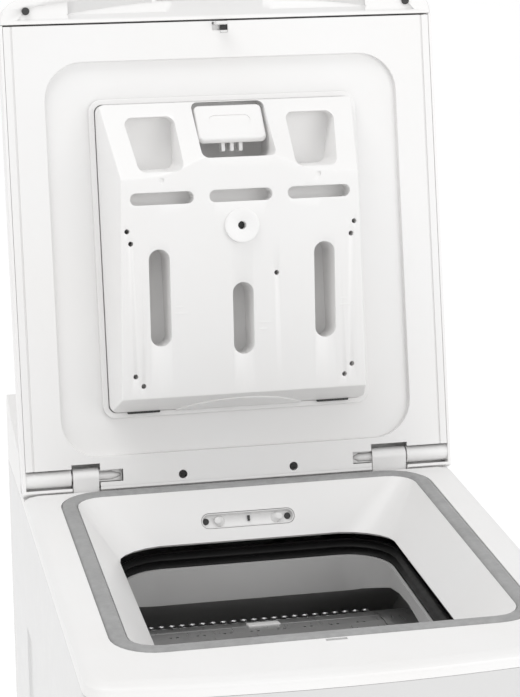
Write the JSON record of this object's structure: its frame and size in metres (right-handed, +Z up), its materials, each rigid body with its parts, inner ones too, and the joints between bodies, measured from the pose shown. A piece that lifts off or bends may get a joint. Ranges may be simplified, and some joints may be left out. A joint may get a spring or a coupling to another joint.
{
  "type": "top load washing machine",
  "caption": "Narrow top loading washing machine with an open lid, a detergent dispenser in the lid, a loading hopper and a sideways drum with flaps.",
  "frame": {"origin": "on the floor, at the centre of the machine's bounding box with its lid open", "axes": "+X to the right as seen from the front, +Y to the rear, +Z up"},
  "size_m": [0.4, 0.615, 1.2979],
  "materials": {
    "enamel": "white enamel",
    "white_plastic": "semi-gloss white",
    "liner_plastic": "semi-gloss white",
    "dispenser_plastic": "semi-gloss white",
    "nozzle_plastic": "satin light grey",
    "control_plastic": "satin silver grey",
    "latch_plastic": "satin grey",
    "lifter_plastic": "satin",
    "dark_plastic": "matte",
    "tub_plastic": "filled polypropylene, matte",
    "circuit_board": "solder mask",
    "seal_rubber": "soft grey",
    "bellows_rubber": "matte black",
    "belt_rubber": "matte black",
    "foot_rubber": "matte black",
    "zinc_sheet": "galvanised",
    "drum_steel": "polished stainless",
    "pin_steel": "zinc plated",
    "cast_aluminium": "as cast",
    "motor_casing": "painted",
    "concrete": "cast concrete"
  },
  "bodies": {
    "cabinet": {"side_panel_left": "enamel", "side_panel_right": "enamel", "front_panel": "enamel", "plinth": "white_plastic", "rear_panel": "zinc_sheet", "base_tray": "dark_plastic", "foot_rear_left": "foot_rubber", "foot_rear_right": "foot_rubber", "top_plate": "white_plastic", "hinge_pin_left": "white_plastic", "hinge_pin_right": "white_plastic", "door_seal": "seal_rubber", "hopper": "white_plastic", "spray_nozzle": "nozzle_plastic", "bellows": "bellows_rubber", "door_lock": "dark_plastic", "console": "white_plastic", "control_board": "circuit_board", "suspension_spring_left": "pin_steel", "suspension_spring_right": "pin_steel", "damper_cylinder_left": "dark_plastic", "damper_cylinder_right": "dark_plastic", "drain_pump": "dark_plastic", "sump_hose": "bellows_rubber", "inlet_valve": "nozzle_plastic", "drain_spigot": "dark_plastic", "cord_gland": "dark_plastic"},
    "lid": {"lid_shell": "white_plastic", "lid_liner": "liner_plastic", "lid_handle": "white_plastic", "lid_hook": "nozzle_plastic", "dispenser_frame": "liner_plastic"},
    "dispenser": {"dispenser_tray": "dispenser_plastic"},
    "dispenser_release": {"dispenser_button": "dispenser_plastic"},
    "tub": {"tub_barrel": "tub_plastic", "tub_cover": "tub_plastic", "counterweight_front": "concrete", "counterweight_rear": "concrete", "heater": "pin_steel", "motor": "motor_casing", "drive_belt": "belt_rubber", "damper_rod_left": "pin_steel", "damper_rod_right": "pin_steel"},
    "drum": {"drum_shell": "drum_steel", "drum_lifter_1": "lifter_plastic", "drum_lifter_2": "lifter_plastic", "drum_shaft_left": "pin_steel", "drum_shaft_right": "pin_steel", "drum_pulley": "cast_aluminium"},
    "front_flap": {"drum_flap_front": "drum_steel"},
    "rear_flap": {"drum_flap_rear": "drum_steel"},
    "flap_latch": {"flap_latch_button": "latch_plastic"},
    "motor_rotor": {"motor_pulley": "pin_steel"},
    "knob": {"programme_knob": "control_plastic"},
    "start_key": {"start_button": "control_plastic"},
    "spin_key": {"spin_button": "control_plastic"},
    "filter_hatch": {"filter_door": "white_plastic"},
    "filter_plug": {"pump_filter": "white_plastic"},
    "left_foot": {"foot_front_left": "foot_rubber"},
    "right_foot": {"foot_front_right": "foot_rubber"}
  },
  "joints": [
    {"name": "lid_hinge", "type": "hinge", "parent": "cabinet", "child": "lid", "pos_m": [0, 0.1645, 0.859], "axis": [-1, 0, 0], "range_deg": [-101.8, 0]},
    {"name": "dispenser_tilt", "type": "hinge", "parent": "lid", "child": "dispenser", "pos_m": [0, 0.1635, 0.9179], "axis": [1, 0, 0], "range_deg": [0, 12]},
    {"name": "dispenser_release_slide", "type": "slide", "parent": "dispenser", "child": "dispenser_release", "axis": [0, -0.7756, -0.6313], "range_m": [0, 0.009], "stiffness_N_per_m": 200, "springref_m": -0.004},
    {"name": "tub_bounce", "type": "slide", "parent": "cabinet", "child": "tub", "axis": [0, 0, 1], "range_m": [-0.01, 0.01], "stiffness_N_per_m": 12000, "springref_m": 0.0219, "deforming": ["suspension_spring_left", "suspension_spring_right", "bellows", "sump_hose"]},
    {"name": "drum_spin", "type": "hinge", "parent": "tub", "child": "drum", "pos_m": [0, 0.0075, 0.518], "axis": [1, 0, 0], "range_deg": [-360, 360]},
    {"name": "motor_spin", "type": "hinge", "parent": "tub", "child": "motor_rotor", "pos_m": [0, 0.1355, 0.17], "axis": [1, 0, 0], "continuous": true},
    {"name": "front_flap_hinge", "type": "hinge", "parent": "drum", "child": "front_flap", "pos_m": [0, -0.10226, 0.72443], "axis": [1, 0, 0], "range_deg": [0, 105]},
    {"name": "rear_flap_hinge", "type": "hinge", "parent": "drum", "child": "rear_flap", "pos_m": [0, 0.1011, 0.73224], "axis": [-1, 0, 0], "range_deg": [0, 70]},
    {"name": "flap_latch_press", "type": "slide", "parent": "front_flap", "child": "flap_latch", "axis": [0, -0.2011, -0.9796], "range_m": [0, 0.003], "stiffness_N_per_m": 300, "springref_m": -0.003},
    {"name": "programme_turn", "type": "hinge", "parent": "cabinet", "child": "knob", "pos_m": [0.128, 0.2325, 0.88334], "axis": [0, -0.1987, 0.9801], "continuous": true},
    {"name": "start_press", "type": "slide", "parent": "cabinet", "child": "start_key", "axis": [0, 0.1987, -0.9801], "range_m": [0, 0.0025], "stiffness_N_per_m": 400, "springref_m": -0.002},
    {"name": "spin_press", "type": "slide", "parent": "cabinet", "child": "spin_key", "axis": [0, 0.1987, -0.9801], "range_m": [0, 0.0025], "stiffness_N_per_m": 400, "springref_m": -0.002},
    {"name": "filter_door_hinge", "type": "hinge", "parent": "cabinet", "child": "filter_hatch", "pos_m": [0.111, -0.3066, 0.034], "axis": [1, 0, 0], "range_deg": [0, 80]},
    {"name": "filter_unscrew", "type": "hinge", "parent": "cabinet", "child": "filter_plug", "pos_m": [0.111, -0.2205, 0.106], "axis": [0, 1, 0], "range_deg": [0, 90]},
    {"name": "left_foot_screw", "type": "hinge", "parent": "cabinet", "child": "left_foot", "pos_m": [-0.138, -0.2305, 0.01], "axis": [0, 0, 1], "continuous": true},
    {"name": "right_foot_screw", "type": "hinge", "parent": "cabinet", "child": "right_foot", "pos_m": [0.138, -0.2305, 0.01], "axis": [0, 0, 1], "continuous": true}
  ],
  "couplings": [
    {"joint": "motor_spin", "follows": "drum_spin", "ratio": 13.895}
  ]
}
